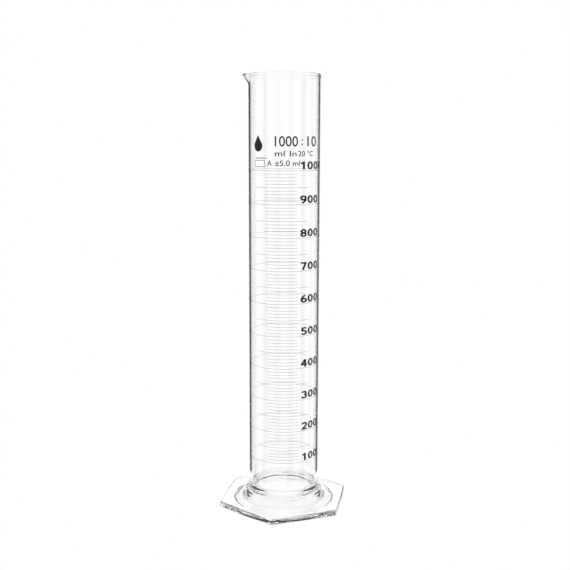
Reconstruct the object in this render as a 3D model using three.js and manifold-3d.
// Graduated measuring cylinder, 1000 ml, with a pouring spout and a six-sided foot.
// Millimetres, +Z up, origin under the middle of the foot. Angles are measured round the Z axis
// from the front (-Y) towards +X.

import * as THREE from 'three';
import { mergeVertices } from 'three/addons/utils/BufferGeometryUtils.js';
import Module from 'manifold-3d';

const wasm = await Module();
wasm.setup();

// ---------------------------------------------------------------- driving dimensions

const HEIGHT = 418;                  // table to rim
const BORE_RADIUS = 32;
const WALL = 2.2;
const FACETS = 48;                   // round the tube and its printed rings

const FLOOR_Z = 18;                  // lowest point inside the bore
const FLOOR_CORNER = 5;              // inside corner between wall and floor
const TUBE_BASE_Z = 12.5;            // underside of the tube's closed end
const TUBE_BASE_CORNER = 2;

const BEAD_RADIUS = 1.45;            // fire-polished rim
const BEAD_DEPTH = 4;
const SPOUT_REACH = 5.7;
const SPOUT_DEPTH = 9.2;
const SPOUT_HALF_ANGLE = 25;
const SPOUT_ANGLE = -96;

const FOOT_CORNER_RADIUS = 66.6;     // middle to sharp corner of the hexagon
const FOOT_ANGLE = -10.3;            // direction of the front corner
const FOOT_ROUNDING = 3.5;
const FOOT_SIDE_BULGE = 0.8;
const PLATE_THICKNESS = 5.8;
const PLATE_EDGE = 1.6;
const DOME_EDGE_RADIUS = 47;         // where the collar starts to rise from the plate
const COLLAR_TOP_Z = 17;
const COLLAR_LIP = 0.5;              // rim of the collar round its seat
const SEAT_GAP = 0.3;                // all round the tube's end in the collar
const HOLLOW_RADIUS = 49.4;          // mouth of the hollow under the foot
const HOLLOW_TOP_Z = 11.1;           // just under the seat of the tube
const HOLLOW_TOP_RADIUS = 24;

const SCALE_ANGLE = -5.5;            // middle of the scale at its upper end
const PRINT_LEAN = 5.2;              // degrees that the print drifts to the right down the scale
const FULL_ML = 1000;
const RING_STEP_ML = 100;
const FIRST_RING_ML = 100;
const LINE_WIDTH = 0.4;
const PRINT_GAP = 0.05;              // between glass and a coaxial printed line
const PRINT_THICKNESS = 0.15;
const MID_MARK_HALF_ANGLE = 45;

const NUMERAL_HEIGHT = 7.3;
const NUMERAL_STROKE = 1.35;
const NUMERAL_STRETCH = 1.62;        // makes the digits wide, with heavy uprights
const NUMERAL_PITCH = 8.1;
const NUMERAL_START_ANGLE = 24.8;    // left edge of the numerals at the upper end of the scale
const NUMERAL_LIFT = 1.1;            // above the line that they belong to
const NUMERAL_GAP = 0.3;
const DIGIT_CELL = 0.62;             // width of a digit before it is stretched, its height being 1
const STROKE_STEP = 30;              // degrees of a bow per straight piece

// ---------------------------------------------------------------- derived dimensions

const TUBE_RADIUS = BORE_RADIUS + WALL;
const BORE_AREA = Math.PI * BORE_RADIUS ** 2;
const CORNER_CENTROID = 0.223;       // of the filled corner, off the wall, as a share of its radius
const CORNER_LOSS = (1 - Math.PI / 4) * FLOOR_CORNER ** 2
  * 2 * Math.PI * (BORE_RADIUS - CORNER_CENTROID * FLOOR_CORNER);
const UNITS_PER_ML = 1000;           // cubic millimetres

const markZ = (ml) => FLOOR_Z + (ml * UNITS_PER_ML + CORNER_LOSS) / BORE_AREA;
const radians = THREE.MathUtils.degToRad;
const FACET = 360 / FACETS;

/** How far the leaning print has drifted to the right at height z, in degrees. */
const printDrift = (z) => PRINT_LEAN * (markZ(FULL_ML) - z) / (markZ(FULL_ML) - markZ(FIRST_RING_ML));

// ---------------------------------------------------------------- materials

const glass = (tint) => new THREE.MeshStandardMaterial({
  color: tint, roughness: 0.05, metalness: 0, transparent: true, opacity: 0.35,
});
const printInk = () => new THREE.MeshStandardMaterial({
  color: 0x2a2a2a, roughness: 0.45, metalness: 0,
});

// ---------------------------------------------------------------- helpers

const group = new THREE.Group();
group.name = 'graduated_cylinder';

function addPart(name, geometry, material) {
  const mesh = new THREE.Mesh(geometry, material);
  mesh.name = name;
  group.add(mesh);
  return mesh;
}

/** Points of an arc in a lathe profile, angles in degrees from the radial direction. */
function arcPoints(radius, z, r, from, to, steps) {
  return Array.from({ length: steps + 1 }, (_, i) => {
    const a = radians(from + (to - from) * i / steps);
    return new THREE.Vector2(radius + r * Math.cos(a), z + r * Math.sin(a));
  });
}

/** A lathe body about Z, whose first facet edge lies at the front. */
function turned(profile) {
  return new THREE.LatheGeometry(profile, FACETS).rotateX(Math.PI / 2);
}

function toSolid(geometry) {
  const bare = geometry.clone();
  bare.deleteAttribute('normal');
  bare.deleteAttribute('uv');
  const welded = mergeVertices(bare, 1e-4);
  return new wasm.Manifold(new wasm.Mesh({
    numProp: 3,
    vertProperties: new Float32Array(welded.attributes.position.array),
    triVerts: new Uint32Array(welded.index.array),
  }));
}

function toGeometry(solid) {
  const mesh = solid.getMesh();
  const geometry = new THREE.BufferGeometry();
  geometry.setAttribute('position', new THREE.BufferAttribute(mesh.vertProperties, 3));
  geometry.setIndex(new THREE.BufferAttribute(mesh.triVerts, 1));
  geometry.computeVertexNormals();
  return geometry;
}

// ---------------------------------------------------------------- measuring tube

function tubeProfile() {
  const wallMiddle = BORE_RADIUS + WALL / 2;
  const beadZ = HEIGHT - BEAD_RADIUS;
  const spoutFoot = HEIGHT - SPOUT_DEPTH;
  const spoutMiddle = HEIGHT - (SPOUT_DEPTH + BEAD_DEPTH) / 2;
  const baseCornerZ = TUBE_BASE_Z + TUBE_BASE_CORNER;
  return [
    new THREE.Vector2(0, TUBE_BASE_Z),
    ...arcPoints(TUBE_RADIUS - TUBE_BASE_CORNER, baseCornerZ, TUBE_BASE_CORNER, -90, 0, 3),
    new THREE.Vector2(TUBE_RADIUS, spoutFoot),
    new THREE.Vector2(TUBE_RADIUS, spoutMiddle),
    new THREE.Vector2(TUBE_RADIUS, HEIGHT - BEAD_DEPTH),
    ...arcPoints(wallMiddle, beadZ, BEAD_RADIUS, 0, 180, 6),
    new THREE.Vector2(BORE_RADIUS, HEIGHT - BEAD_DEPTH),
    new THREE.Vector2(BORE_RADIUS, spoutMiddle),
    new THREE.Vector2(BORE_RADIUS, spoutFoot),
    ...arcPoints(BORE_RADIUS - FLOOR_CORNER, FLOOR_Z + FLOOR_CORNER, FLOOR_CORNER, 0, -90, 4),
    new THREE.Vector2(0, FLOOR_Z),
  ];
}

/** Draws the rim outwards into a pouring spout, about a quarter turn left of the scale. */
function drawSpout(geometry) {
  const spoutAngle = radians(SPOUT_ANGLE);
  const position = geometry.attributes.position;
  const point = new THREE.Vector3();
  for (let i = 0; i < position.count; i += 1) {
    point.fromBufferAttribute(position, i);
    const rise = THREE.MathUtils.clamp((point.z - HEIGHT + SPOUT_DEPTH) / SPOUT_DEPTH, 0, 1);
    const angle = Math.atan2(point.x, -point.y);
    const turn = Math.atan2(Math.sin(angle - spoutAngle), Math.cos(angle - spoutAngle));
    const off = Math.min(1, Math.abs(turn) / radians(SPOUT_HALF_ANGLE));
    const push = SPOUT_REACH * rise * (1 + Math.cos(Math.PI * off)) / 2;
    point.x += push * Math.sin(angle);
    point.y -= push * Math.cos(angle);
    position.setXYZ(i, point.x, point.y, point.z);
  }
  geometry.computeVertexNormals();
  return geometry;
}

addPart('measuring_tube', drawSpout(turned(tubeProfile())), glass(0xf2f6f6));

// ---------------------------------------------------------------- hexagonal foot

/** The hexagon's outline: six rounded corners joined by slightly bowed sides. */
function footOutline() {
  const centreRadius = FOOT_CORNER_RADIUS - FOOT_ROUNDING / Math.cos(Math.PI / 6);
  const outline = [];
  for (let corner = 0; corner < 6; corner += 1) {
    const heading = radians(FOOT_ANGLE + 60 * corner);
    for (let i = -2; i <= 2; i += 1) {
      const a = heading + radians(15 * i);
      outline.push(new THREE.Vector2(
        centreRadius * Math.sin(heading) + FOOT_ROUNDING * Math.sin(a),
        -centreRadius * Math.cos(heading) - FOOT_ROUNDING * Math.cos(a),
      ));
    }
    const sideHeading = heading + Math.PI / 6;
    const apothem = FOOT_CORNER_RADIUS * Math.cos(Math.PI / 6) + FOOT_SIDE_BULGE;
    const [x, y] = [apothem * Math.sin(sideHeading), -apothem * Math.cos(sideHeading)];
    outline.push(new THREE.Vector2(x, y));
  }
  return outline;
}

function footPlate() {
  return new THREE.ExtrudeGeometry(new THREE.Shape(footOutline()), {
    depth: PLATE_THICKNESS - 2 * PLATE_EDGE,
    bevelThickness: PLATE_EDGE,
    bevelSize: PLATE_EDGE,
    bevelOffset: -PLATE_EDGE,
    bevelSegments: 3,
    steps: 1,
  }).translate(0, 0, PLATE_EDGE);
}

/** The dome of the foot, which swells into a round collar and closes in on the tube. */
function footCollar() {
  const rise = new THREE.SplineCurve([
    new THREE.Vector2(DOME_EDGE_RADIUS, PLATE_THICKNESS),
    new THREE.Vector2(43, 6.2),
    new THREE.Vector2(39.9, 7.8),
    new THREE.Vector2(38.6, 10.8),
    new THREE.Vector2(37.4, 13.9),
    new THREE.Vector2(TUBE_RADIUS + SEAT_GAP + COLLAR_LIP, COLLAR_TOP_Z),
  ]);
  const core = PLATE_THICKNESS / 2;
  return turned([
    new THREE.Vector2(0, core),
    new THREE.Vector2(DOME_EDGE_RADIUS, core),
    ...rise.getPoints(10),
    new THREE.Vector2(0, COLLAR_TOP_Z),
  ]);
}

/** The space that the tube's closed end takes up in the collar. */
function tubeSeat() {
  const radius = TUBE_RADIUS + SEAT_GAP;
  const floor = TUBE_BASE_Z - SEAT_GAP;
  const cornerZ = floor + TUBE_BASE_CORNER;
  return turned([
    new THREE.Vector2(0, floor),
    ...arcPoints(radius - TUBE_BASE_CORNER, cornerZ, TUBE_BASE_CORNER, -90, 0, 3),
    new THREE.Vector2(radius, COLLAR_TOP_Z + 1),
    new THREE.Vector2(0, COLLAR_TOP_Z + 1),
  ]);
}

/** The hollow under the foot, which rises inside the collar and leaves an outer border to stand on. */
function footHollow() {
  const vault = new THREE.SplineCurve([
    new THREE.Vector2(HOLLOW_RADIUS - 0.6, 0.8),
    new THREE.Vector2(43, 1.7),
    new THREE.Vector2(37.5, 2.4),
    new THREE.Vector2(34, 4),
    new THREE.Vector2(32, 6.5),
    new THREE.Vector2(30.5, 9),
    new THREE.Vector2(28, 10.6),
    new THREE.Vector2(HOLLOW_TOP_RADIUS, HOLLOW_TOP_Z),
  ]);
  return turned([
    new THREE.Vector2(0, -1),
    new THREE.Vector2(HOLLOW_RADIUS, -1),
    new THREE.Vector2(HOLLOW_RADIUS, 0),
    ...vault.getPoints(14),
    new THREE.Vector2(0, HOLLOW_TOP_Z),
  ]);
}

const foot = toSolid(footPlate())
  .add(toSolid(footCollar()))
  .subtract(toSolid(tubeSeat()))
  .subtract(toSolid(footHollow()));
addPart('hexagonal_foot', toGeometry(foot), glass(0xf0f5f5));

// ---------------------------------------------------------------- printed lines

/** Distance from the axis to a facet at an angle, for a faceted ring whose edges are at radius. */
function facetRadius(radius, angle) {
  const offMiddle = THREE.MathUtils.euclideanModulo(angle, FACET) - FACET / 2;
  return radius * Math.cos(radians(FACET / 2)) / Math.cos(radians(offMiddle));
}

/** A printed line round part of the tube, facet for facet with the glass under it. */
function printedLine(ml, fromAngle, toAngle) {
  const inner = TUBE_RADIUS + PRINT_GAP;
  const outer = inner + PRINT_THICKNESS;
  const full = toAngle - fromAngle >= 360;
  const angles = full ? [] : [fromAngle];
  for (let a = (Math.floor(fromAngle / FACET) + 1) * FACET; a < toAngle; a += FACET) {
    angles.push(a);
  }
  angles.push(toAngle);
  const count = full ? FACETS : angles.length - 1;
  const section = [
    [inner, -LINE_WIDTH / 2], [outer, -LINE_WIDTH / 2],
    [outer, LINE_WIDTH / 2], [inner, LINE_WIDTH / 2],
  ];
  const positions = [];
  angles.forEach((angle) => {
    const a = radians(angle);
    section.forEach(([radius, z]) => {
      const r = facetRadius(radius, angle);
      positions.push(r * Math.sin(a), -r * Math.cos(a), markZ(ml) + z);
    });
  });
  const indices = [];
  for (let i = 0; i < count; i += 1) {
    const here = 4 * i;
    const next = 4 * ((i + 1) % (full ? count : count + 1));
    for (let k = 0; k < 4; k += 1) {
      const up = (k + 1) % 4;
      indices.push(here + k, next + k, next + up, here + k, next + up, here + up);
    }
  }
  if (!full) {
    const last = 4 * count;
    indices.push(0, 1, 2, 0, 2, 3, last, last + 2, last + 1, last, last + 3, last + 2);
  }
  const geometry = new THREE.BufferGeometry();
  geometry.setAttribute('position', new THREE.Float32BufferAttribute(positions, 3));
  geometry.setIndex(indices);
  geometry.computeVertexNormals();
  return geometry;
}

for (let ml = FIRST_RING_ML; ml <= FULL_ML; ml += RING_STEP_ML) {
  const label = String(ml).padStart(4, '0');
  addPart(`ring_mark_${label}_ml`, printedLine(ml, 0, 360), printInk());
}
for (let ml = FIRST_RING_ML + RING_STEP_ML / 2; ml < FULL_ML; ml += RING_STEP_ML) {
  const label = String(ml).padStart(4, '0');
  const middle = SCALE_ANGLE + printDrift(markZ(ml));
  const line = printedLine(ml, middle - MID_MARK_HALF_ANGLE, middle + MID_MARK_HALF_ANGLE);
  addPart(`mid_mark_${label}_ml`, line, printInk());
}

// ---------------------------------------------------------------- printed numerals

// Strokes of each digit as centre lines: a bar is [x, y, x, y], and a bow is
// { at, radii, from, to } with its angles in degrees. The 9 is the 6 upside down.
const DIGIT_STROKES = {
  0: [
    { at: [0.31, 0.5], radii: [0.21, 0.41], from: 0, to: 360 },
  ],
  1: [
    [0.36, 0, 0.36, 1],
    [0.1, 0.72, 0.4, 0.9],
  ],
  2: [
    { at: [0.31, 0.68], radii: [0.2, 0.23], from: -35, to: 165 },
    [0.48, 0.56, 0.14, 0.1],
    [0.04, 0.09, 0.58, 0.09],
  ],
  3: [
    { at: [0.29, 0.7], radii: [0.19, 0.2], from: -90, to: 160 },
    { at: [0.29, 0.3], radii: [0.22, 0.21], from: -160, to: 90 },
  ],
  4: [
    [0.42, 0, 0.42, 1],
    [0.4, 0.95, 0.08, 0.32],
    [0.02, 0.3, 0.6, 0.3],
  ],
  5: [
    [0.12, 0.91, 0.56, 0.91],
    [0.18, 0.95, 0.13, 0.48],
    { at: [0.29, 0.32], radii: [0.22, 0.23], from: -155, to: 130 },
  ],
  6: [
    { at: [0.31, 0.31], radii: [0.21, 0.22], from: 0, to: 360 },
    { at: [0.46, 0.32], radii: [0.36, 0.59], from: 90, to: 180 },
  ],
  7: [
    [0.04, 0.91, 0.58, 0.91],
    [0.5, 0.92, 0.22, 0],
  ],
  8: [
    { at: [0.31, 0.71], radii: [0.18, 0.2], from: 0, to: 360 },
    { at: [0.31, 0.29], radii: [0.21, 0.2], from: 0, to: 360 },
  ],
};

/** The outline of a straight stroke. */
function barShape([x1, y1, x2, y2], half) {
  const start = new THREE.Vector2(x1, y1).multiplyScalar(NUMERAL_HEIGHT);
  const end = new THREE.Vector2(x2, y2).multiplyScalar(NUMERAL_HEIGHT);
  const along = end.clone().sub(start).normalize().multiplyScalar(half);
  const side = new THREE.Vector2(-along.y, along.x);
  return new THREE.Shape([
    start.clone().sub(side),
    end.clone().sub(side),
    end.clone().add(side),
    start.clone().add(side),
  ]);
}

/** The outline of a bow, which has a hole when it goes all the way round. */
function bowShape(bow, half) {
  const [cx, cy] = bow.at.map((v) => v * NUMERAL_HEIGHT);
  const [rx, ry] = bow.radii.map((v) => v * NUMERAL_HEIGHT);
  const closed = bow.to - bow.from >= 360;
  const steps = Math.round((bow.to - bow.from) / STROKE_STEP);
  const edge = (grow) => Array.from({ length: closed ? steps : steps + 1 }, (_, i) => {
    const a = radians(bow.from + (bow.to - bow.from) * i / steps);
    return new THREE.Vector2(cx + (rx + grow) * Math.cos(a), cy + (ry + grow) * Math.sin(a));
  });
  if (!closed) {
    return new THREE.Shape([...edge(half), ...edge(-half).reverse()]);
  }
  const shape = new THREE.Shape(edge(half));
  shape.holes.push(new THREE.Path(edge(-half).reverse()));
  return shape;
}

/** A flat digit, with its lower left corner at the origin. */
function flatDigit(digit) {
  const upsideDown = digit === '9';
  const half = NUMERAL_STROKE / 2;
  const strokes = DIGIT_STROKES[upsideDown ? 6 : digit].map((stroke) => {
    const shape = Array.isArray(stroke) ? barShape(stroke, half) : bowShape(stroke, half);
    const extrusion = { depth: PRINT_THICKNESS, bevelEnabled: false };
    return toSolid(new THREE.ExtrudeGeometry(shape, extrusion));
  });
  const geometry = toGeometry(strokes.reduce((whole, stroke) => whole.add(stroke)));
  if (upsideDown) {
    geometry.rotateZ(Math.PI).translate(DIGIT_CELL * NUMERAL_HEIGHT, NUMERAL_HEIGHT, 0);
  }
  return geometry.scale(NUMERAL_STRETCH, 1, 1);
}

/** Wraps a flat digit round the tube: its x becomes arc length, and its y height. */
function wrapDigit(geometry, start, bottom) {
  const position = geometry.attributes.position;
  for (let i = 0; i < position.count; i += 1) {
    const z = bottom + position.getY(i);
    const arc = (start + position.getX(i)) / TUBE_RADIUS;
    const a = radians(NUMERAL_START_ANGLE + printDrift(z)) + arc;
    const r = TUBE_RADIUS + NUMERAL_GAP + position.getZ(i);
    position.setXYZ(i, r * Math.sin(a), -r * Math.cos(a), z);
  }
  geometry.computeVertexNormals();
  return geometry;
}

for (let ml = FIRST_RING_ML; ml <= FULL_ML; ml += RING_STEP_ML) {
  const label = String(ml).padStart(4, '0');
  const bottom = markZ(ml) + NUMERAL_LIFT;
  [...String(ml)].forEach((digit, place) => {
    const wrapped = wrapDigit(flatDigit(digit), place * NUMERAL_PITCH, bottom);
    addPart(`numeral_${label}_digit_${place + 1}`, wrapped, printInk());
  });
}

export default group;
